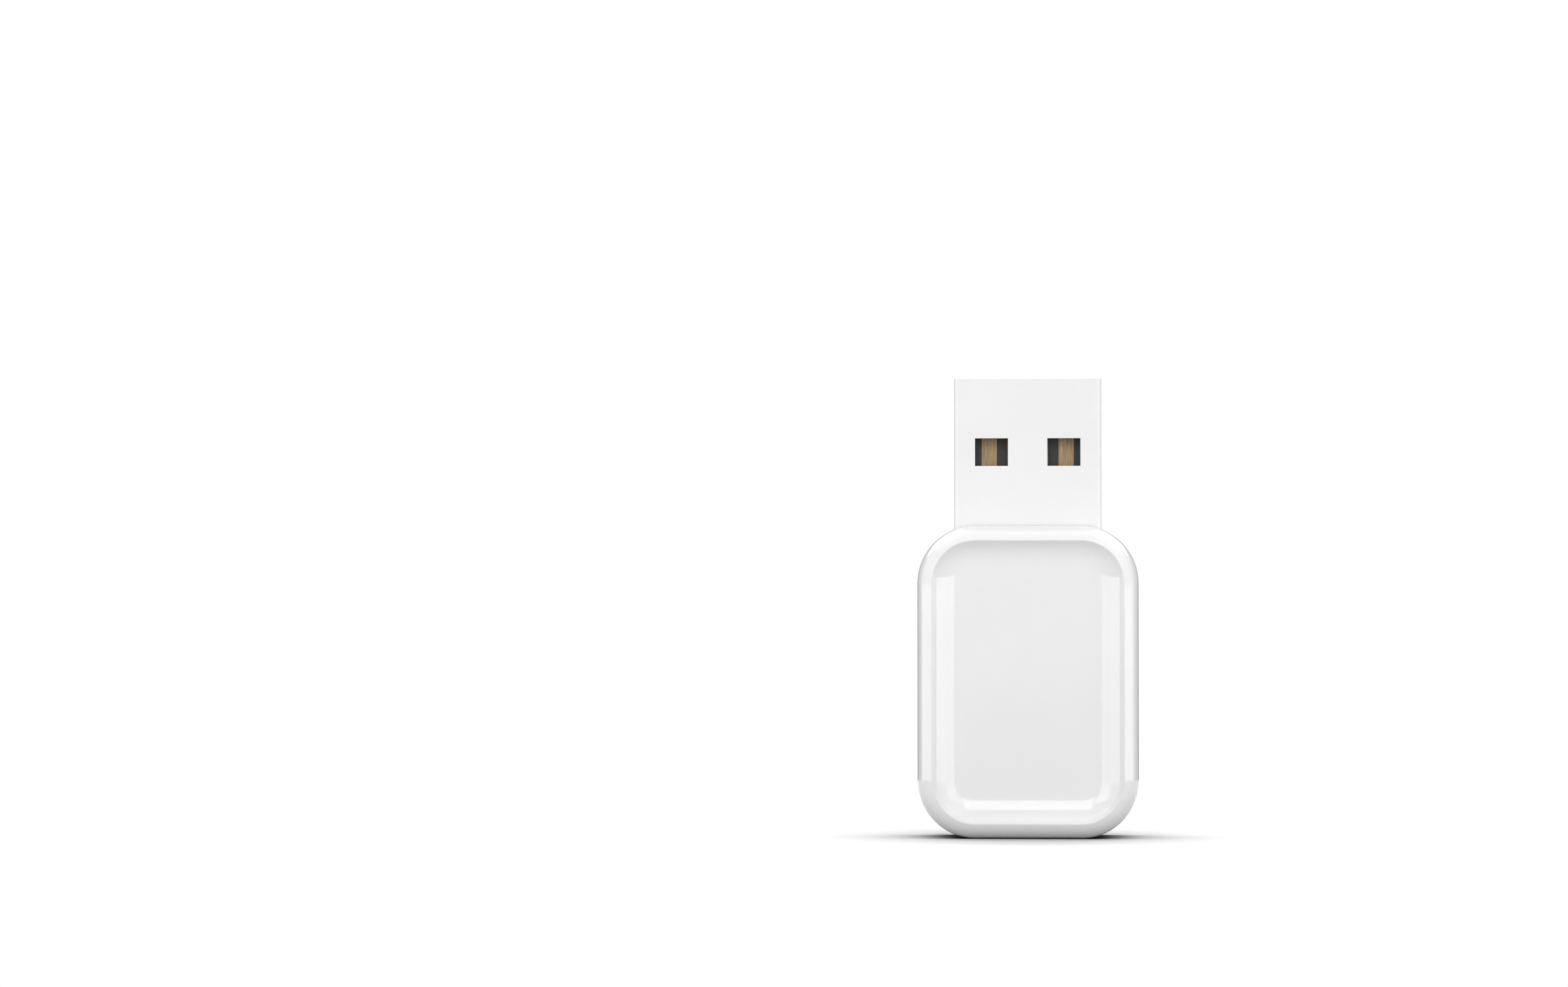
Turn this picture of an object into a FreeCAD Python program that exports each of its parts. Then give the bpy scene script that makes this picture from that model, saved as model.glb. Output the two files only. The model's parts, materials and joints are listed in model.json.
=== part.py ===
"""Smart home USB radio stick: a two-piece moulded housing round a board with a USB-A plug.

Millimetres. The stick stands on its rounded end with the plug up. X runs across the width,
-Y is the front with the dish, and Z runs up along the stick. The origin is the middle of the foot.
"""
import FreeCAD, Part
import math
import os

Vector = FreeCAD.Vector

# Housing outside
body_width = 18.0
body_height = 25.45
body_corner_radius = 4.7
rim_depth = 4.5             # from the middle plane to the ridge round the dish
back_depth = 4.5            # from the middle plane to the flat back
edge_radius = 2.0           # front edge, outside the ridge
rear_edge_radius = 1.5
rim_width = 1.23            # from the silhouette to the ridge round the dish
dish_wall_width = 2.3
dish_wall_radius = 2.8

# Housing inside
wall = 1.1
groove_width = 0.9          # a groove cores out the rim behind the ridge
groove_depth = 0.8
split_depth = 0.5           # the parting plane lies this far behind the middle plane
split_bevel = 0.08
lip_height = 0.7
lip_thickness = 0.5
lip_root = 0.5              # how far the lip reaches into the rear cover's wall
lip_clearance = 0.05
bead_length = 2.6
bead_reach = 0.14
bead_heights = (8.0, 16.5)
rib_thickness = 0.9
rib_clearance = 0.1
rib_board_gap = 0.15

# Plug sleeve, folded from sheet
plug_width = 12.0
plug_thickness = 4.5
plug_exposed = 12.15
plug_sleeve_length = 18.75
sheet = 0.3
bend_inner_radius = 0.05
mouth_bevel = 0.13
window_width = 2.69
window_height = 2.26
window_spread = 2.95        # from the middle to a window's own middle
window_from_mouth = 4.99
seam_gap = 0.06
seam_key_head = 1.6
seam_key_neck = 0.9
seam_key_reach = 1.1
seam_key_from_mouth = 9.6
plug_clearance = 0.1        # between the sleeve and the housing
leg_width = 1.5
leg_rise = 1.2              # from the sleeve's lower end to the leg
leg_tip = 0.45              # how far the leg stands out behind the board
leg_clearance = 0.1

# Contacts and their carrier
contact_width = 1.25
contact_thickness = 0.25
contact_gap = 1.95          # free gap between the sleeve's front wall and the contacts
power_contact_spread = 3.155
data_contact_spread = 1.05
power_contact_from_mouth = 1.25
data_contact_from_mouth = 2.25
contact_tip_drop = 0.45
contact_tail = 1.6          # length soldered to the board
contact_side_clearance = 0.02
carrier_from_mouth = 0.45
carrier_chamfer = 0.4
plug_cavity_depth = 12.0
carrier_clearance = 0.02
carrier_from_sleeve_end = 0.2

# Circuit board
board_thickness = 1.0
board_side_gap = 0.25
board_top_gap = 0.3         # between the board and the sleeve's lower end
board_arm_gap = 0.12        # between the sleeve and the two arms beside it
board_arm_margin = 0.5      # above the legs' slots
board_foot_bevel = 1.2
board_arm_bevel = 0.6

# Locating pins and their sockets
pin_radius = 0.7
pin_clearance = 0.05
pin_from_board_side = 1.65
pin_from_board_foot = 1.8
post_radius = 1.2
socket_radius = 1.3
pin_reach = 1.3             # how far the pin stands out in front of the board
seat_clearance = 0.03

# Antenna coil
antenna_wire = 0.5
antenna_wire_flats = 8
antenna_coil_radius = 1.25  # to the middle of the wire
antenna_turns = 4
antenna_wall_gap = 0.35     # between the coil and the housing's end wall
antenna_board_gap = 0.45    # between the coil and the board
antenna_socket_gap = 0.45   # between the coil's ends and the sockets, seen from the front
antenna_lead = 3.6

# Chip parts: (width, height, thickness)
radio_chip_size = (4.0, 4.0, 0.85)
bridge_chip_size = (3.0, 3.0, 0.75)
crystal_size = (2.5, 2.0, 0.6)
filter_size = (1.8, 1.4, 0.5)
regulator_size = (2.9, 1.6, 1.1)
protector_size = (2.9, 1.6, 1.1)
fuse_size = (1.25, 2.0, 0.7)
ferrite_size = (0.8, 1.6, 0.8)
small_part_size = (0.5, 1.0, 0.5)
inductor_size = (0.8, 1.6, 0.8)
lead_width = 0.4
lead_reach = 0.55
lead_knee = 0.27            # from the body to the lead's bend
lead_thickness = 0.15
terminal_share = 0.25
terminal_skin = 0.02
chip_pad_width = 0.3
chip_pad_height = 0.2
chip_pad_pitch = 0.65
chip_pad_skin = 0.03
chip_corner = 0.3
can_ledge = 0.1
can_corner = 0.2

# Heights and depths that follow
mouth_height = body_height + plug_exposed
sleeve_foot = mouth_height - plug_sleeve_length
contact_face = -plug_thickness / 2 + sheet + contact_gap
board_front = contact_face + contact_thickness
board_back = board_front + board_thickness
board_top = sleeve_foot - board_top_gap
body_middle = body_height / 2
rim_tilt = math.asin(1 - rim_width / edge_radius)
front_crown = rim_depth + edge_radius * (1 - math.cos(rim_tilt))
dish_depth = dish_wall_radius - math.sqrt(dish_wall_radius ** 2 - dish_wall_width ** 2)
dish_floor = -(rim_depth - dish_depth)
antenna_reach = antenna_coil_radius + antenna_wire / 2
antenna_height = wall + antenna_wall_gap + antenna_reach
board_foot = antenna_height + antenna_reach + antenna_board_gap
board_side = body_width / 2 - wall - board_side_gap
pin_spread = board_side - pin_from_board_side
pin_height = board_foot + pin_from_board_foot
antenna_half = pin_spread - socket_radius - antenna_socket_gap - antenna_wire / 2
antenna_pitch = 2 * antenna_half / antenna_turns
leg_slot_top = sleeve_foot + leg_rise + leg_width + leg_clearance
arm_top = leg_slot_top + board_arm_margin
arm_side = plug_width / 2 + board_arm_gap
leg_outside = (arm_side + board_side + sheet) / 2
cut_over = 1.0              # how far a cut runs past the face it opens

# Places on the board's front face, (x, z): the upper parts follow its upper edge and the lower
# parts its lower edge, and the outer parts follow its sides
radio_chip_place = (-0.6, board_foot + 3.9)
crystal_place = (3.3, board_foot + 3.9)
filter_place = (-4.4, board_foot + 4.1)
fuse_place = (board_side - 1.25, pin_height + 2.45)
ferrite_place = (-board_side + 0.85, board_foot + 5.2)
bridge_chip_place = (0.0, board_top - 3.45)
regulator_place = (board_side - 2.25, board_top - 3.45)
protector_place = (-board_side + 2.25, board_top - 3.45)
capacitor_places = ([(x, board_foot + 5.6) for x in (-5.0, -4.3, -3.6, 2.6, 3.3, 4.0)]
                    + [(x, board_foot + 2.3) for x in (2.7, 3.4)]
                    + [(x, board_top - 4.1) for x in (-2.1, 2.1)] + [(-2.1, board_top - 2.7)])
resistor_places = ([(x, board_top - 0.9) for x in (-2.1, 0.0, 2.1)] + [(2.1, board_top - 2.7)]
                   + [(-antenna_half + x, board_foot + 1.2) for x in (3.6, 4.5, 5.4)])
inductor_places = [(-antenna_half + x, board_foot + 0.95) for x in (0.7, 1.7, 2.7)]


def box(x0, x1, y0, y1, z0, z1):
    """A box between two corners."""
    return Part.makeBox(x1 - x0, y1 - y0, z1 - z0, Vector(x0, y0, z0))


def rod(radius, y0, y1, x, z):
    """A round rod along Y."""
    return Part.makeCylinder(radius, y1 - y0, Vector(x, y0, z), Vector(0, 1, 0))


def prism(points, direction):
    """Extrude a closed outline of points along a direction."""
    outline = Part.makePolygon(list(points) + [points[0]])
    return Part.Face(outline).extrude(direction)


def rounded_outline(width, height, radius):
    """A closed rounded rectangle about the origin, in the XY plane."""
    a = width / 2
    b = height / 2
    r = radius
    k = r * (1 - math.sqrt(0.5))
    corners = [((a, b - r), (a - k, b - k), (a - r, b)),
               ((-a + r, b), (-a + k, b - k), (-a, b - r)),
               ((-a, -b + r), (-a + k, -b + k), (-a + r, -b)),
               ((a - r, -b), (a - k, -b + k), (a, -b + r))]
    edges = []
    for number, (start, middle, end) in enumerate(corners):
        following = corners[(number + 1) % 4][0]
        edges.append(Part.Arc(*[Vector(x, y, 0) for x, y in (start, middle, end)]).toShape())
        if math.dist(end, following) > 1e-6:
            edges.append(Part.makeLine(Vector(*end, 0), Vector(*following, 0)))
    return Part.Wire(edges)


def rounded_block(width, height, radius, y0, y1):
    """A rounded rectangle in the front view, centred on the housing, between two depths."""
    face = Part.Face(rounded_outline(width, height, radius))
    block = face.extrude(Vector(0, 0, y1 - y0))
    block.rotate(Vector(), Vector(1, 0, 0), -90)
    block.translate(Vector(0, y0, body_middle))
    return block


def edges_at_depth(shape, depth):
    """The edges that lie in one plane across Y."""
    return [edge for edge in shape.Edges
            if all(abs(vertex.Y - depth) < 1e-4 for vertex in edge.Vertexes)
            and abs(edge.CenterOfMass.y - depth) < 1e-4]


def housing_block():
    """The housing's outside without its dish."""
    block = rounded_block(body_width, body_height, body_corner_radius, -front_crown, back_depth)
    block = block.makeFillet(edge_radius, edges_at_depth(block, -front_crown))
    return block.makeFillet(rear_edge_radius, edges_at_depth(block, back_depth))


def dish_block():
    """What the dish takes out of the front: a flat floor with walls that curve up to the ridge."""
    inset = rim_width + dish_wall_width - dish_wall_radius
    block = rounded_block(body_width - 2 * inset, body_height - 2 * inset,
                          body_corner_radius - inset, -front_crown - dish_wall_radius, dish_floor)
    return block.makeFillet(dish_wall_radius, edges_at_depth(block, dish_floor))


def plug_opening():
    """Room for the plug's sleeve: the way out of the housing and a seat behind the dish."""
    a = plug_width / 2 + plug_clearance
    b = plug_thickness / 2 + plug_clearance
    outline = rounded_outline(2 * a, 2 * b, sheet + bend_inner_radius + plug_clearance)
    opening = Part.Face(outline).extrude(Vector(0, 0, plug_sleeve_length))
    opening.translate(Vector(0, 0, sleeve_foot - plug_clearance))
    return opening


def parting_ring(outer_inset, inner_inset, y0, y1):
    """A ring that follows the side walls, between two insets and two depths."""
    outer = rounded_block(body_width - 2 * outer_inset, body_height - 2 * outer_inset,
                          body_corner_radius - outer_inset, y0, y1)
    inner = rounded_block(body_width - 2 * inner_inset, body_height - 2 * inner_inset,
                          body_corner_radius - inner_inset, y0 - cut_over, y1 + cut_over)
    return outer.cut(inner)


def snap_beads(growth):
    """Ridges along the lip's outside, which click into grooves in the front cover."""
    face = body_width / 2 - wall + lip_thickness
    depth = split_depth - lip_height / 2
    half = lip_height / 2 + growth
    length = bead_length + 2 * growth
    beads = []
    for side in (-1, 1):
        for height in bead_heights:
            outline = [(face - bead_reach, depth - half), (face + bead_reach + growth, depth),
                       (face - bead_reach, depth + half)]
            z0 = height - length / 2
            beads.append(prism([Vector(side * x, y, z0) for x, y in outline], Vector(0, 0, length)))
    return beads


def outside_half(front):
    """One half of the housing's outside, with a fine bevel at the parting line."""
    outside = housing_block().cut(dish_block())
    far = body_width + body_height
    if front:
        half = outside.common(box(-far, far, -far, split_depth, -far, far))
    else:
        half = outside.common(box(-far, far, split_depth, far, -far, far))
    return half.makeChamfer(split_bevel, edges_at_depth(half, split_depth))


def hollow():
    """The room inside the housing, with straight grooves that core out the thick rim."""
    room = rounded_block(body_width - 2 * wall, body_height - 2 * wall, body_corner_radius - wall,
                         dish_floor + wall, back_depth - wall)
    y0 = dish_floor + wall - groove_depth
    a = body_width / 2 - wall
    b = body_width / 2 - body_corner_radius
    low = body_corner_radius
    high = body_height - body_corner_radius
    for side in (-1, 1):
        x0, x1 = sorted((side * (a - groove_width), side * a))
        room = room.fuse(box(x0, x1, y0, back_depth - wall, low, high))
    return room.fuse(box(-b, b, y0, back_depth - wall, wall, wall + groove_width))


def socket_bosses(room):
    """Tubes on the front cover's inside that take the locating pins."""
    bosses = []
    for side in (-1, 1):
        tube = rod(socket_radius, -front_crown, board_front - seat_clearance, side * pin_spread, pin_height)
        bore = rod(pin_radius + pin_clearance, board_front - pin_reach - pin_clearance, back_depth,
                   side * pin_spread, pin_height)
        bosses.append(tube.common(room).cut(bore))
    return bosses


def sleeve_ribs(front, room):
    """Ribs across the housing that hold the plug's sleeve near its lower end."""
    far = body_width
    clear = rib_clearance
    sleeve = box(-plug_width / 2 - clear, plug_width / 2 + clear,
                 -plug_thickness / 2 - clear, plug_thickness / 2 + clear, 0, 2 * body_height)
    z0 = arm_top + rib_board_gap
    if front:
        rib = box(-far, far, -far, split_depth - lip_height - lip_clearance, z0, z0 + rib_thickness)
    else:
        rib = box(-far, far, split_depth + lip_clearance, far, z0, z0 + rib_thickness)
    return rib.common(room).cut(sleeve)


def front_cover():
    """Front half of the housing: dish, rim, sockets, ribs and the rebate for the lip."""
    room = hollow()
    cover = outside_half(True).cut(room)
    for boss in socket_bosses(room):
        cover = cover.fuse(boss)
    cover = cover.fuse(sleeve_ribs(True, room))
    rebate_inset = wall - lip_thickness - lip_clearance
    rebate = parting_ring(rebate_inset, wall + cut_over, split_depth - lip_height - lip_clearance,
                          split_depth + cut_over)
    cover = cover.cut(rebate)
    for groove in snap_beads(lip_clearance):
        cover = cover.cut(groove)
    return cover.cut(plug_opening())


def locating_pins():
    """Posts on the rear cover that carry the board, each with a pin through it."""
    pins = []
    for side in (-1, 1):
        post = rod(post_radius, board_back + seat_clearance, back_depth - wall / 2,
                   side * pin_spread, pin_height)
        pin = rod(pin_radius, board_front - pin_reach, back_depth - wall / 2, side * pin_spread, pin_height)
        pins.append(post.fuse(pin))
    return pins


def rear_cover():
    """Rear half of the housing: flat back, lip, locating pins and ribs."""
    room = hollow()
    cover = outside_half(False).cut(room)
    lip = parting_ring(wall - lip_thickness, wall, split_depth - lip_height, split_depth + lip_root)
    for bead in snap_beads(0):
        lip = lip.fuse(bead)
    cover = cover.fuse(lip)
    for pin in locating_pins():
        cover = cover.fuse(pin)
    cover = cover.fuse(sleeve_ribs(False, room))
    return cover.cut(plug_opening())


def sleeve_tube():
    """The folded sleeve as a plain tube with a bevelled mouth."""
    outer_radius = bend_inner_radius + sheet
    outline = rounded_outline(plug_width, plug_thickness, outer_radius)
    outside = Part.Face(outline).extrude(Vector(0, 0, plug_sleeve_length))
    outside.translate(Vector(0, 0, sleeve_foot))
    mouth = [edge for edge in outside.Edges
             if all(abs(vertex.Z - mouth_height) < 1e-4 for vertex in edge.Vertexes)]
    outside = outside.makeChamfer(mouth_bevel, mouth)
    inner = rounded_outline(plug_width - 2 * sheet, plug_thickness - 2 * sheet, bend_inner_radius)
    inside = Part.Face(inner).extrude(Vector(0, 0, plug_sleeve_length + 2 * cut_over))
    inside.translate(Vector(0, 0, sleeve_foot - cut_over))
    return outside.cut(inside)


def sleeve_windows():
    """Two windows in each broad face, punched right through the plug."""
    top = mouth_height - window_from_mouth
    windows = []
    for side in (-1, 1):
        middle = side * window_spread
        windows.append(box(middle - window_width / 2, middle + window_width / 2,
                           -plug_thickness, plug_thickness, top - window_height, top))
    return windows


def sleeve_seam():
    """The butt seam down the back, with one dovetail key that locks the fold."""
    half = seam_gap / 2
    middle = mouth_height - seam_key_from_mouth
    over = sheet / 2
    y0 = plug_thickness / 2 - sheet - over
    y1 = plug_thickness / 2 + over
    slit = box(-half, half, y0, y1, sleeve_foot - cut_over, mouth_height + cut_over)

    def key(growth, foot):
        neck = seam_key_neck / 2 + growth
        head = seam_key_head / 2 + growth
        reach = seam_key_reach + growth
        outline = [(foot, middle - neck), (foot, middle + neck), (0, middle + neck),
                   (reach, middle + head), (reach, middle - head), (0, middle - neck)]
        return prism([Vector(x, y0, z) for x, z in outline], Vector(0, y1 - y0, 0))
    return slit.fuse(key(half, -half)).cut(key(-half, -2 * half))


def sleeve_legs():
    """One leg a side: out from the sleeve over the board's arm and down through its slot."""
    legs = []
    z0 = sleeve_foot + leg_rise
    start = plug_width / 2 - sheet / 2
    inside = leg_outside - sheet
    for side in (-1, 1):
        outline = [(start, board_front), (start, board_front - sheet),
                   (inside, board_front - sheet), (leg_outside, board_front),
                   (leg_outside, board_back + leg_tip), (inside, board_back + leg_tip),
                   (inside, board_front)]
        legs.append(prism([Vector(side * x, y, z0) for x, y in outline], Vector(0, 0, leg_width)))
    return legs


def plug_shell():
    """The plug's sleeve with its windows, its seam and its legs."""
    shell = sleeve_tube()
    for window in sleeve_windows():
        shell = shell.cut(window)
    shell = shell.cut(sleeve_seam())
    for leg in sleeve_legs():
        shell = shell.fuse(leg)
    return shell.removeSplitter()


def contact(x, from_mouth, growth):
    """One contact: a flat strip with its tip bent into the carrier, and a tail on the board."""
    top = mouth_height - from_mouth
    tail = board_top - contact_tail
    a = contact_width / 2 + growth
    front = contact_face
    back = contact_face + contact_thickness
    drop = contact_tip_drop
    outline = [(front, tail), (front, top - drop), (front + drop, top),
               (back + drop, top), (back, top - drop), (back, tail)]
    return prism([Vector(x - a, y, z) for y, z in outline], Vector(2 * a, 0, 0))


contact_rows = {
    "contact_vbus": (-power_contact_spread, power_contact_from_mouth),
    "contact_data_minus": (-data_contact_spread, data_contact_from_mouth),
    "contact_data_plus": (data_contact_spread, data_contact_from_mouth),
    "contact_ground": (power_contact_spread, power_contact_from_mouth),
}


def contact_carrier():
    """The black insulator: a block in the sleeve's lower part and a tongue behind the contacts."""
    a = plug_width / 2 - sheet - carrier_clearance
    b = plug_thickness / 2 - sheet - carrier_clearance
    foot = sleeve_foot + carrier_from_sleeve_end
    tip = mouth_height - carrier_from_mouth
    block_top = mouth_height - plug_cavity_depth
    c = carrier_chamfer
    outline = [(b, foot), (-b, foot), (-b, block_top - c), (-b + c, block_top), (contact_face, block_top),
               (contact_face, tip - c), (contact_face + c, tip), (b - c / 2, tip), (b, tip - c / 2)]
    carrier = prism([Vector(-a, y, z) for y, z in outline], Vector(2 * a, 0, 0))
    for x, from_mouth in contact_rows.values():
        carrier = carrier.cut(contact(x, from_mouth, contact_side_clearance))
    return carrier


def circuit_board():
    """The board: a plate with two arms beside the plug, slots for the legs and pin holes."""
    a = board_side
    low = board_foot_bevel
    high = board_arm_bevel
    outline = [(-a, board_foot + low), (-a + low, board_foot), (a - low, board_foot), (a, board_foot + low),
               (a, arm_top - high), (a - high, arm_top), (arm_side, arm_top), (arm_side, board_top),
               (-arm_side, board_top), (-arm_side, arm_top), (-a + high, arm_top), (-a, arm_top - high)]
    board = prism([Vector(x, board_front, z) for x, z in outline], Vector(0, board_thickness, 0))
    y0 = board_front - cut_over
    y1 = board_back + cut_over
    for side in (-1, 1):
        hole = rod(pin_radius + pin_clearance, y0, y1, side * pin_spread, pin_height)
        x0, x1 = sorted((side * (leg_outside - sheet - leg_clearance), side * (leg_outside + leg_clearance)))
        slot = box(x0, x1, y0, y1, sleeve_foot + leg_rise - leg_clearance, leg_slot_top)
        board = board.cut(hole).cut(slot)
    return board


def on_board(size, place):
    """A plain block on the board's front face."""
    width, height, thickness = size
    x, z = place
    return box(x - width / 2, x + width / 2, board_front - thickness, board_front,
               z - height / 2, z + height / 2)


def flat_chip(size, place):
    """A leadless chip: a block with pads along each edge and a bevel at its first pad's corner."""
    width, height, thickness = size
    x, z = place
    chip = on_board(size, place)
    corner = [edge for edge in chip.Edges
              if edge.CenterOfMass.x < x and edge.CenterOfMass.z > z
              and abs(edge.tangentAt(edge.FirstParameter).y) > 0.9]
    chip = chip.makeChamfer(chip_corner, corner)
    count = int((min(width, height) - 1) / chip_pad_pitch) + 1
    a = chip_pad_width / 2
    for number in range(count):
        step = (number - (count - 1) / 2) * chip_pad_pitch
        for side in (-1, 1):
            x0, x1 = sorted((x + side * width / 2, x + side * (width / 2 + chip_pad_skin)))
            z0, z1 = sorted((z + side * height / 2, z + side * (height / 2 + chip_pad_skin)))
            y0 = board_front - chip_pad_height
            chip = chip.fuse(box(x0, x1, y0, board_front, z + step - a, z + step + a))
            chip = chip.fuse(box(x + step - a, x + step + a, y0, board_front, z0, z1))
    return chip


def leaded_chip(size, place, leads_low, leads_high):
    """A small moulded part with bent leads along its lower and upper edges."""
    width, height, thickness = size
    x, z = place
    part = on_board(size, place)
    part = part.makeChamfer(lead_thickness, edges_at_depth(part, board_front - thickness))
    for count, side in ((leads_low, -1), (leads_high, 1)):
        for number in range(count):
            pitch = (width - 2 * lead_width) / 2
            spread = (number - (count - 1) / 2) * pitch * (2 / (count - 1) if count > 1 else 1)
            edge = z + side * height / 2
            tip = edge + side * lead_reach
            knee = edge + side * lead_knee
            t = lead_thickness
            mid = board_front - thickness / 2
            outline = [(mid, edge - side * t), (mid, knee), (board_front - t, knee), (board_front - t, tip),
                       (board_front, tip), (board_front, knee - side * t), (mid + t, knee - side * t),
                       (mid + t, edge - side * t)]
            a = lead_width / 2
            lead = prism([Vector(x + spread - a, py, pz) for py, pz in outline], Vector(2 * a, 0, 0))
            part = part.fuse(lead)
    return part


def end_capped(size, place):
    """A chip part with a metal cap, a little proud, at each end."""
    width, height, thickness = size
    x, z = place
    top = board_front - thickness
    low = z - height / 2
    high = z + height / 2
    cap = height * terminal_share
    outline = [(board_front, low), (top, low), (top, low + cap), (top + terminal_skin, low + cap),
               (top + terminal_skin, high - cap), (top, high - cap), (top, high), (board_front, high)]
    return prism([Vector(x - width / 2, py, pz) for py, pz in outline], Vector(width, 0, 0))


def metal_can(size, place):
    """A crystal or filter: a base with a smaller lid whose corners are bevelled."""
    width, height, thickness = size
    base = on_board((width, height, thickness / 2), place)
    lid = on_board((width - 2 * can_ledge, height - 2 * can_ledge, thickness), place)
    corners = [edge for edge in lid.Edges if abs(edge.tangentAt(edge.FirstParameter).y) > 0.9]
    return base.fuse(lid.makeChamfer(can_corner, corners))


def wire_outline(middle):
    """The antenna wire's outline across Z, drawn with a few flats."""
    reach = antenna_wire / 2 / math.cos(math.pi / antenna_wire_flats)
    points = []
    for number in range(antenna_wire_flats):
        angle = math.pi * (2 * number + 1) / antenna_wire_flats
        points.append(middle + Vector(reach * math.cos(angle), reach * math.sin(angle), 0))
    return Part.makePolygon(points + [points[0]])


def helical_antenna():
    """A wire coil across the lower end, with a straight lead that lies on the board.

    Each half turn is an arc in a plane tilted by a quarter of the pitch, so that it meets the
    next one square to the coil's width. The wire's skin is sewn from the half turns.
    """
    radius = antenna_coil_radius
    depth = board_front - antenna_wire / 2 + radius
    x = -antenna_half
    side = -1
    point = Vector(x, depth - radius, antenna_height)
    outline = wire_outline(point)
    rise = Vector(0, 0, antenna_lead)
    skin = outline.extrude(rise).Faces
    lead_end = Part.Face(outline)
    lead_end.translate(rise)
    skin.append(lead_end)
    for _ in range(round(2 * antenna_turns)):
        x += antenna_pitch / 2
        following = Vector(x, depth - side * radius, antenna_height)
        middle = (point + following) * 0.5
        axis = Vector(0, 0, side).cross(middle - point).normalize()
        skin += outline.revolve(middle, axis, 180).Faces
        outline.rotate(middle, axis, 180)
        point = following
        side = -side
    skin.append(Part.Face(outline))
    shell = Part.makeShell(skin)
    shell.sewShape()
    coil = Part.makeSolid(shell)
    if coil.Volume < 0:
        coil.reverse()
    return coil


def build():
    """Every sub-part by its name."""
    parts = {
        "front_cover": front_cover(),
        "rear_cover": rear_cover(),
        "plug_shell": plug_shell(),
        "contact_carrier": contact_carrier(),
        "circuit_board": circuit_board(),
        "radio_chip": flat_chip(radio_chip_size, radio_chip_place),
        "usb_bridge_chip": flat_chip(bridge_chip_size, bridge_chip_place),
        "radio_crystal": metal_can(crystal_size, crystal_place),
        "saw_filter": metal_can(filter_size, filter_place),
        "voltage_regulator": leaded_chip(regulator_size, regulator_place, 3, 2),
        "surge_protector": leaded_chip(protector_size, protector_place, 3, 3),
        "resettable_fuse": end_capped(fuse_size, fuse_place),
        "ferrite_bead": end_capped(ferrite_size, ferrite_place),
        "capacitor_group": Part.Compound([end_capped(small_part_size, place) for place in capacitor_places]),
        "resistor_group": Part.Compound([end_capped(small_part_size, place) for place in resistor_places]),
        "inductor_group": Part.Compound([end_capped(inductor_size, place) for place in inductor_places]),
        "helical_antenna": helical_antenna(),
    }
    for name, (x, from_mouth) in contact_rows.items():
        parts[name] = contact(x, from_mouth, 0)
    return parts


def write(parts):
    """Save each sub-part as a STEP file of its own."""
    os.makedirs("parts", exist_ok=True)
    for name, shape in parts.items():
        shape.exportStep("parts/" + name + ".step")
        print(name, "solids", len(shape.Solids), "valid", shape.isValid(), "volume", round(shape.Volume, 3))


write(build())
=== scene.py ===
"""Looks, light and camera for the smart home USB radio stick. Metres, in the part's own frame."""
import bpy
import json
import math
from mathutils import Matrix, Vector

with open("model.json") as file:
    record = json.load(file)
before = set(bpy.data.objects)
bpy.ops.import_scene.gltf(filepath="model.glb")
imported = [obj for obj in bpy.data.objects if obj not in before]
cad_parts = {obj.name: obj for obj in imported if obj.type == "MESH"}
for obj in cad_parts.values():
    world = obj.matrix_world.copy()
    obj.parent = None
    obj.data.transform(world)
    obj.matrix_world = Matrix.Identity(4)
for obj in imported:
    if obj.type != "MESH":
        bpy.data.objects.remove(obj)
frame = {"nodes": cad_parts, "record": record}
bpy.context.view_layer.update()
nodes = frame["nodes"]
scene = bpy.context.scene

# Floor
floor_radius = 0.12
floor_sides = 96
floor_bounce = 0.54         # how much of the light the floor gives back to the stick
floor_tone = 0.98           # the floor as the camera and reflections see it, before the painted contact shadow
painted_shadow_reach = 0.018        # how far from the stick the contact shadow painted into the floor's colour reaches
painted_shadow_power = 1.1          # the power that darkens the painted contact shadow
fade_start = 0.05           # from here the floor turns to plain white
fade_end = 0.11

# Surroundings. Angles are in degrees, seen from the stick: azimuth 0 points to the camera's
# side (-Y) and 90 to +X, on the camera's right.
ambient = 0.06              # the world's even light on the stick
aim = Vector((0.0, 0.0, 0.018))
panel_distance = 0.50
card_azimuth = 146          # of the two dark cards, one on each side
card_distance = 0.45
card_half_width = 0.30
card_half_height = 0.22
card_grey = 0.02
card_roughness = 0.9

# Soft panels: name, azimuth from and to, elevation from and to, radiance
panels = [
    ("right_low_front", 20, 50, -11, 1, 1.8),
    ("right_low_side", 50, 97, -11, 1, 2.2),
    ("right_front", 20, 50, 1, 30, 2.05),
    ("right_side", 50, 92, 1, 30, 0.8),
    ("right_high", 20, 90, 32, 60, 0.8),
    ("left_low_front", -50, -20, -11, 1, 1.5),
    ("left_low_side", -106, -50, -11, 1, 2.0),
    ("left_front", -50, -20, 1, 30, 2.25),
    ("left_side", -106, -50, 1, 30, 0.8),
    ("left_high", -90, -20, 32, 60, 0.4),
    ("front_window", -15, 15, 14, 46, 2.8),
    ("front_high", -14, 14, 51, 72, 0.3),
    ("top_front", -50, 50, 74, 89, 1.0),
    ("top_back", 130, 230, 66, 89, 1.55),
    ("back_high", 130, 230, 30, 64, 2.1),
]

# Camera, fitted to the photograph's outline of the stick
sensor_width = 36.0         # millimetres, as Blender counts lenses
frame_pixels = 2383
focal_pixels = 7000
camera_place = (0.0, -0.37874, 0.018)
camera_pitch = 1.538        # degrees above the horizon
camera_yaw = 3.030          # degrees to the left
clip_near = 0.01
clip_far = 20.0


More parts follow.
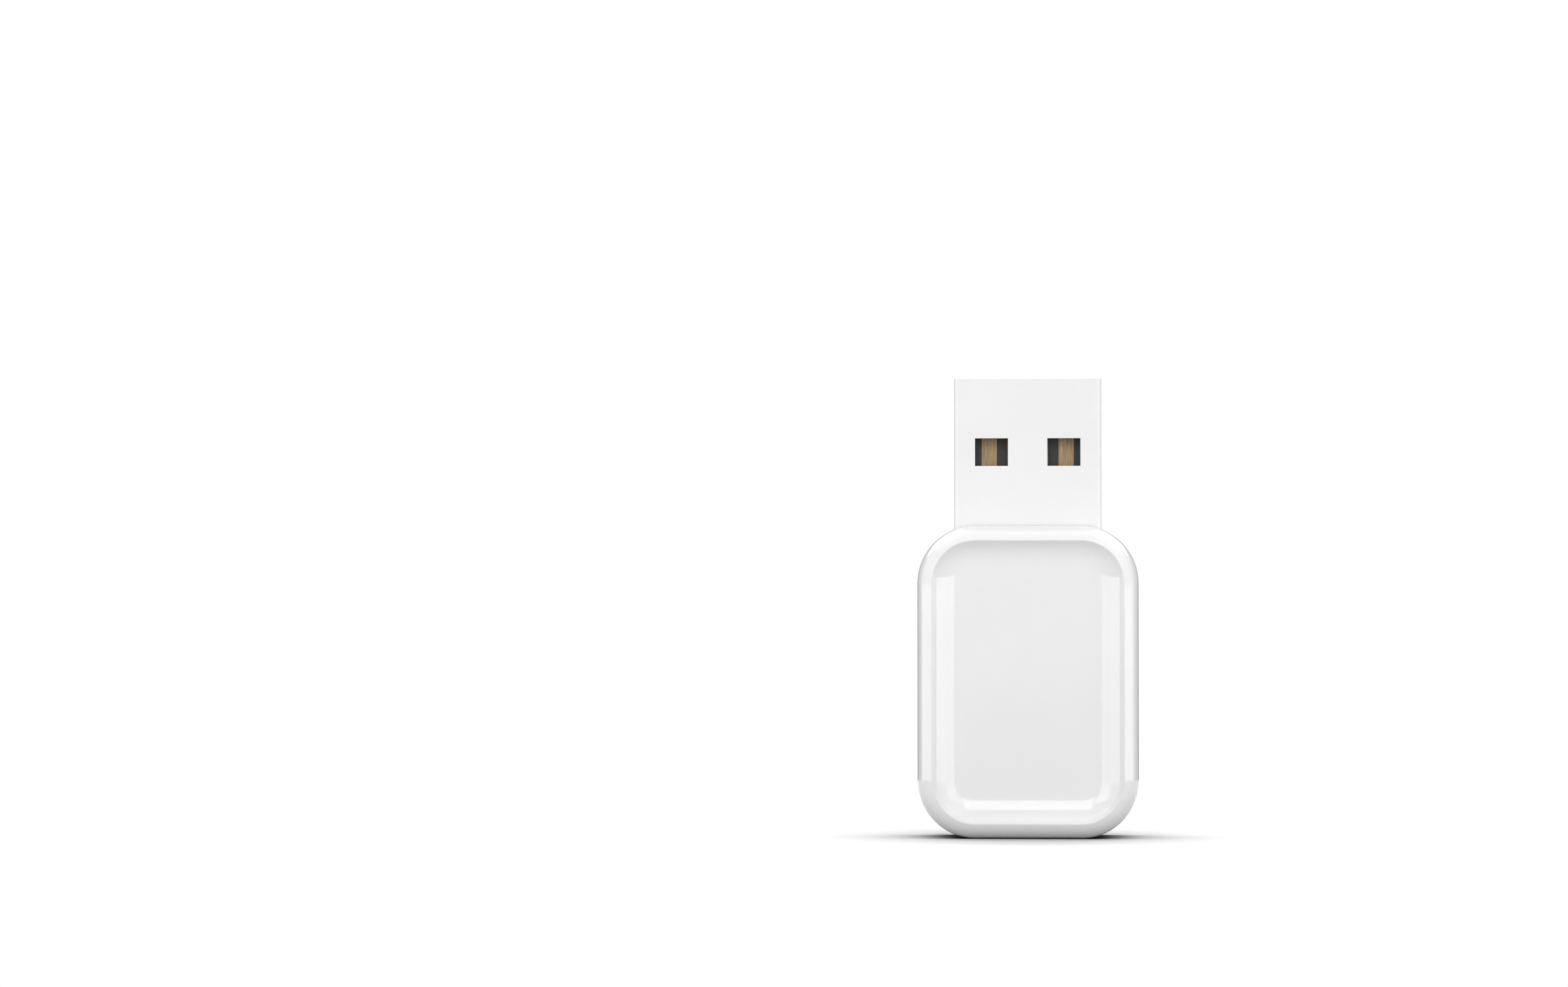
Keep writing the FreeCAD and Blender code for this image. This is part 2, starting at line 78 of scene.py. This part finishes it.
class Graph:
    """Short calls for the nodes of a material or a world."""

    def __init__(self, owner, output):
        owner.use_nodes = True
        self.tree = owner.node_tree
        self.tree.nodes.clear()
        self.out = self.node(output)

    def node(self, kind, **settings):
        made = self.tree.nodes.new(kind)
        for key, value in settings.items():
            setattr(made, key, value)
        return made

    def link(self, source, target):
        self.tree.links.new(source, target)

    def calc(self, operation, first, second):
        """A calculation with a socket and either another socket or a number."""
        made = self.node("ShaderNodeMath", operation=operation)
        self.link(first, made.inputs[0])
        if isinstance(second, float):
            made.inputs[1].default_value = second
        else:
            self.link(second, made.inputs[1])
        return made.outputs["Value"]

    def mix(self, share, first, second):
        """Two shaders mixed by a share from 0 to 1."""
        made = self.node("ShaderNodeMixShader")
        self.link(share, made.inputs["Fac"])
        self.link(first, made.inputs[1])
        self.link(second, made.inputs[2])
        return made.outputs["Shader"]


class Shade(Graph):
    """A new material with the nodes that the finishes below are built from."""

    def __init__(self, name):
        self.material = bpy.data.materials.new(name)
        super().__init__(self.material, "ShaderNodeOutputMaterial")

    def principled(self, **sockets):
        shader = self.node("ShaderNodeBsdfPrincipled")
        for key, value in sockets.items():
            shader.inputs[key.replace("_", " ")].default_value = value
        self.link(shader.outputs["BSDF"], self.out.inputs["Surface"])
        return shader

    def place(self, scale=(1, 1, 1)):
        """Object coordinates, which are the frame's own metres, stretched by a scale."""
        where = self.node("ShaderNodeTexCoord")
        mapping = self.node("ShaderNodeMapping")
        mapping.inputs["Scale"].default_value = scale
        self.link(where.outputs["Object"], mapping.inputs["Vector"])
        return mapping.outputs["Vector"]

    def noise(self, vector, scale, detail, roughness=0.5):
        made = self.node("ShaderNodeTexNoise")
        made.inputs["Scale"].default_value = scale
        made.inputs["Detail"].default_value = detail
        made.inputs["Roughness"].default_value = roughness
        self.link(vector, made.inputs["Vector"])
        return made.outputs["Fac"]

    def ramp(self, value, stops):
        """A value carried to colours, given as pairs of a position and a colour."""
        made = self.node("ShaderNodeValToRGB")
        band = made.color_ramp
        first, *middle, last = stops
        band.elements[0].position, band.elements[0].color = first[0], (*first[1], 1)
        band.elements[1].position, band.elements[1].color = last[0], (*last[1], 1)
        for position, colour in middle:
            band.elements.new(position).color = (*colour, 1)
        self.link(value, made.inputs["Fac"])
        return made.outputs["Color"]

    def span(self, value, low, high):
        """A value from 0 to 1 carried to a range."""
        made = self.node("ShaderNodeMapRange")
        made.inputs["To Min"].default_value = low
        made.inputs["To Max"].default_value = high
        self.link(value, made.inputs["Value"])
        return made.outputs["Result"]

    def bump(self, height, strength, distance, normal=None):
        made = self.node("ShaderNodeBump")
        made.inputs["Strength"].default_value = strength
        made.inputs["Distance"].default_value = distance
        self.link(height, made.inputs["Height"])
        if normal is not None:
            self.link(normal, made.inputs["Normal"])
        return made.outputs["Normal"]

    def bevel(self, radius):
        """The normal of edges rounded by a radius."""
        made = self.node("ShaderNodeBevel", samples=6)
        made.inputs["Radius"].default_value = radius
        return made.outputs["Normal"]


def grey(value):
    """A colour with no hue."""
    return (value, value, value)


def moulded(name, low, high, rough, flow, edge):
    """Glossy moulded plastic: a faint cloudiness, a very slight waviness and rounded edges."""
    m = Shade(name)
    place = m.place()
    shader = m.principled(IOR=1.58)
    cloud = m.noise(place, scale=140, detail=3)
    m.link(m.ramp(cloud, [(0.3, grey(low)), (0.7, grey(high))]), shader.inputs["Base Color"])
    gloss = m.noise(place, scale=900, detail=3)
    m.link(m.span(gloss, low=rough * 0.85, high=rough * 1.2), shader.inputs["Roughness"])
    wave = m.noise(place, scale=160, detail=1)
    m.link(m.bump(wave, strength=0.25, distance=flow, normal=m.bevel(edge)),
           shader.inputs["Normal"])
    return m.material


def coated_metal(name, low, high, edge):
    """White lacquer on sheet steel: a touch softer in gloss, with fine specks of orange peel."""
    m = Shade(name)
    place = m.place()
    shader = m.principled(IOR=1.45)
    cloud = m.noise(place, scale=220, detail=3)
    m.link(m.ramp(cloud, [(0.3, grey(low)), (0.7, grey(high))]), shader.inputs["Base Color"])
    gloss = m.noise(place, scale=1500, detail=2)
    m.link(m.span(gloss, low=0.17, high=0.24), shader.inputs["Roughness"])
    peel = m.noise(place, scale=3400, detail=2)
    m.link(m.bump(peel, strength=0.2, distance=0.000006, normal=m.bevel(edge)),
           shader.inputs["Normal"])
    return m.material


def contact_metal(name, dark, middle, bright):
    """Plated brass with a fine grain that runs along the contact."""
    m = Shade(name)
    along = m.place(scale=(1, 1, 0.03))
    shader = m.principled(Metallic=1.0)
    grain = m.noise(along, scale=14000, detail=3, roughness=0.6)
    m.link(m.ramp(grain, [(0.25, dark), (0.55, middle), (0.8, bright)]),
           shader.inputs["Base Color"])
    m.link(m.span(grain, low=0.26, high=0.44), shader.inputs["Roughness"])
    m.link(m.bump(grain, strength=0.35, distance=0.000008), shader.inputs["Normal"])
    return m.material


def matte(name, low, high, rough, scale, depth, metallic=0.0):
    """A dull moulded or baked body, or a plated lid, with a fine grain of two close colours."""
    m = Shade(name)
    place = m.place()
    shader = m.principled(Metallic=metallic)
    grain = m.noise(place, scale, detail=4, roughness=0.6)
    m.link(m.ramp(grain, [(0.3, low), (0.7, high)]), shader.inputs["Base Color"])
    gloss = m.noise(place, scale * 2, detail=2)
    m.link(m.span(gloss, low=rough - 0.06, high=rough + 0.08), shader.inputs["Roughness"])
    fine = m.noise(place, scale * 3, detail=3)
    m.link(m.bump(fine, strength=0.3, distance=depth), shader.inputs["Normal"])
    return m.material


def board_laminate(name, mask, over_copper):
    """Green solder mask: paler where copper lies under it, with a faint woven grain."""
    m = Shade(name)
    place = m.place()
    shader = m.principled(IOR=1.5)
    cells = m.node("ShaderNodeTexVoronoi", feature="DISTANCE_TO_EDGE")
    cells.inputs["Scale"].default_value = 420
    m.link(place, cells.inputs["Vector"])
    m.link(m.ramp(cells.outputs["Distance"], [(0.05, mask), (0.09, over_copper)]),
           shader.inputs["Base Color"])
    gloss = m.noise(place, scale=2500, detail=2)
    m.link(m.span(gloss, low=0.28, high=0.42), shader.inputs["Roughness"])
    weave = m.noise(place, scale=4000, detail=2)
    m.link(m.bump(weave, strength=0.2, distance=0.00001), shader.inputs["Normal"])
    return m.material


def fired_body(name, low, high):
    """A small fired chip part: two close colours and a low gloss."""
    m = Shade(name)
    place = m.place()
    shader = m.principled()
    cloud = m.noise(place, scale=2600, detail=3)
    m.link(m.ramp(cloud, [(0.35, low), (0.65, high)]), shader.inputs["Base Color"])
    gloss = m.noise(place, scale=4000, detail=2)
    m.link(m.span(gloss, low=0.3, high=0.5), shader.inputs["Roughness"])
    fine = m.noise(place, scale=6000, detail=2)
    m.link(m.bump(fine, strength=0.3, distance=0.000008), shader.inputs["Normal"])
    return m.material


finish = {
    "housing": moulded("housing_gloss_white", 0.765, 0.785, rough=0.03, flow=0.000004,
                       edge=0.00022),
    "plug_coating": coated_metal("plug_white_coating", 0.79, 0.82, edge=0.00006),
    "carrier_plastic": matte("carrier_black_satin", grey(0.012), grey(0.024),
                             rough=0.34, scale=1800, depth=0.000006),
    "contact_metal": contact_metal("contact_plated_brass", (0.15, 0.105, 0.06),
                                   (0.28, 0.205, 0.12), (0.42, 0.33, 0.21)),
    "board_laminate": board_laminate("board_green_mask", (0.01, 0.10, 0.035),
                                     (0.02, 0.19, 0.07)),
    "chip_plastic": matte("chip_black_compound", grey(0.014), grey(0.03),
                          rough=0.55, scale=4200, depth=0.00001),
    "can_metal": matte("can_plated_lid", (0.60, 0.57, 0.50), (0.74, 0.71, 0.65),
                       rough=0.3, scale=1500, depth=0.000006, metallic=1.0),
    "antenna_wire": matte("antenna_copper_wire", (0.62, 0.30, 0.15), (0.80, 0.44, 0.25),
                          rough=0.28, scale=2200, depth=0.000006, metallic=1.0),
    "fuse_body": fired_body("fuse_green_polymer", (0.01, 0.07, 0.03), (0.02, 0.12, 0.05)),
    "ferrite": fired_body("ferrite_dark_grey", grey(0.02), grey(0.045)),
    "capacitor_ceramic": fired_body("capacitor_tan_ceramic", (0.26, 0.16, 0.08),
                                    (0.36, 0.24, 0.13)),
    "resistor_black": fired_body("resistor_black_glaze", grey(0.006), grey(0.016)),
    "inductor_body": fired_body("inductor_grey_ceramic", (0.07, 0.08, 0.10),
                                (0.12, 0.13, 0.16)),
}
slots = {row["node"]: row["material_slot"] for row in frame["record"]["subparts"]}
for name, node in nodes.items():
    for slot in node.material_slots:
        slot.material = finish[slots[name]]


def pale_floor():
    """A floor that keeps the stick's shadow and turns to plain white further out.

    The camera and reflections see it paler than it is as a source of bounced light. Near the
    stick a contact shadow is painted into its colour from ambient occlusion, on top of the lamps'
    own shadow."""
    mesh = bpy.data.meshes.new("floor")
    angles = [math.tau * step / floor_sides for step in range(floor_sides)]
    ring = [(floor_radius * math.cos(a), floor_radius * math.sin(a), 0) for a in angles]
    mesh.from_pydata(ring, [], [tuple(range(floor_sides))])
    floor = bpy.data.objects.new("floor", mesh)
    scene.collection.objects.link(floor)

    m = Shade("floor_white")
    path = m.node("ShaderNodeLightPath")
    seen = m.calc("MAXIMUM", path.outputs["Is Camera Ray"], path.outputs["Is Glossy Ray"])
    bounce = m.node("ShaderNodeBsdfDiffuse")
    bounce.inputs["Color"].default_value = (*grey(floor_bounce), 1)

    # a contact shadow is painted into the floor's colour where the stick stands, darker by how
    # much of the sky the stick hides
    open_sky = m.node("ShaderNodeAmbientOcclusion", samples=12)
    open_sky.inputs["Distance"].default_value = painted_shadow_reach
    painted_contact_shadow = m.calc("POWER", open_sky.outputs["AO"], painted_shadow_power)
    pale = m.node("ShaderNodeBsdfDiffuse")
    # the floor's colour carries the painted contact shadow
    m.link(m.calc("MULTIPLY", painted_contact_shadow, floor_tone), pale.inputs["Color"])
    near = m.mix(seen, bounce.outputs["BSDF"], pale.outputs["BSDF"])

    where = m.node("ShaderNodeTexCoord")
    length = m.node("ShaderNodeVectorMath", operation="LENGTH")
    m.link(where.outputs["Object"], length.inputs[0])
    fade = m.node("ShaderNodeMapRange", interpolation_type="SMOOTHSTEP")
    fade.inputs["From Min"].default_value = fade_start
    fade.inputs["From Max"].default_value = fade_end
    m.link(length.outputs["Value"], fade.inputs["Value"])
    white = m.node("ShaderNodeEmission")
    white.inputs["Strength"].default_value = 1.0
    far = m.calc("MULTIPLY", fade.outputs["Result"], seen)
    m.link(m.mix(far, near, white.outputs["Emission"]), m.out.inputs["Surface"])
    mesh.materials.append(m.material)


def white_world():
    """White to the camera and in reflections, and a dim even light on the stick."""
    world = bpy.data.worlds.new("studio")
    scene.world = world
    graph = Graph(world, "ShaderNodeOutputWorld")
    path = graph.node("ShaderNodeLightPath")
    seen = graph.calc("MAXIMUM", path.outputs["Is Camera Ray"], path.outputs["Is Glossy Ray"])
    seen = graph.calc("MAXIMUM", seen, path.outputs["Is Transmission Ray"])
    glow = []
    for strength in (ambient, 1.0):
        background = graph.node("ShaderNodeBackground")
        background.inputs["Color"].default_value = (1, 1, 1, 1)
        background.inputs["Strength"].default_value = strength
        glow.append(background.outputs["Background"])
    graph.link(graph.mix(seen, *glow), graph.out.inputs["Surface"])


def stand(thing, way, distance):
    """Sets a lamp or a card in a direction from the aim, facing it, out of the camera's sight."""
    scene.collection.objects.link(thing)
    thing.location = aim + way * distance
    thing.rotation_mode = "QUATERNION"
    thing.rotation_quaternion = way.to_track_quat("Z", "Y")
    thing.visible_camera = False


def panel(name, azimuth_low, azimuth_high, elevation_low, elevation_high, radiance):
    """A soft panel that fills a range of directions, seen from the stick."""
    width = 2 * panel_distance * math.tan(math.radians(azimuth_high - azimuth_low) / 2)
    height = 2 * panel_distance * math.tan(math.radians(elevation_high - elevation_low) / 2)
    lamp = bpy.data.lights.new(name, "AREA")
    lamp.shape = "RECTANGLE"
    lamp.size = width
    lamp.size_y = height
    lamp.energy = radiance * math.pi * width * height
    a = math.radians(azimuth_low + azimuth_high) / 2
    e = math.radians(elevation_low + elevation_high) / 2
    way = Vector((math.sin(a) * math.cos(e), -math.cos(a) * math.cos(e), math.sin(e)))
    stand(bpy.data.objects.new(name, lamp), way, panel_distance)


def side_card(azimuth):
    """A dark card behind the stick and out of view, which draws its pale edges."""
    w = card_half_width
    h = card_half_height
    mesh = bpy.data.meshes.new("flag")
    mesh.from_pydata([(-w, -h, 0), (w, -h, 0), (w, h, 0), (-w, h, 0)], [], [(0, 1, 2, 3)])
    card = bpy.data.objects.new("flag_%d" % (azimuth % 360), mesh)
    a = math.radians(azimuth)
    stand(card, Vector((math.sin(a), -math.cos(a), 0.0)), card_distance)
    m = Shade("flag_dark")
    m.principled(Base_Color=(*grey(card_grey), 1), Roughness=card_roughness)
    mesh.materials.append(m.material)


pale_floor()
white_world()
for row in panels:
    panel(*row)
side_card(-card_azimuth)
side_card(card_azimuth)

camera_data = bpy.data.cameras.new("camera")
camera_data.sensor_width = sensor_width
camera_data.lens = sensor_width * focal_pixels / frame_pixels
camera_data.clip_start = clip_near
camera_data.clip_end = clip_far
camera = bpy.data.objects.new("camera", camera_data)
scene.collection.objects.link(camera)
camera.location = camera_place
camera.rotation_euler = (math.radians(90 + camera_pitch), 0.0, math.radians(camera_yaw))
scene.camera = camera

scene.view_settings.view_transform = "Standard"

bpy.context.view_layer.update()
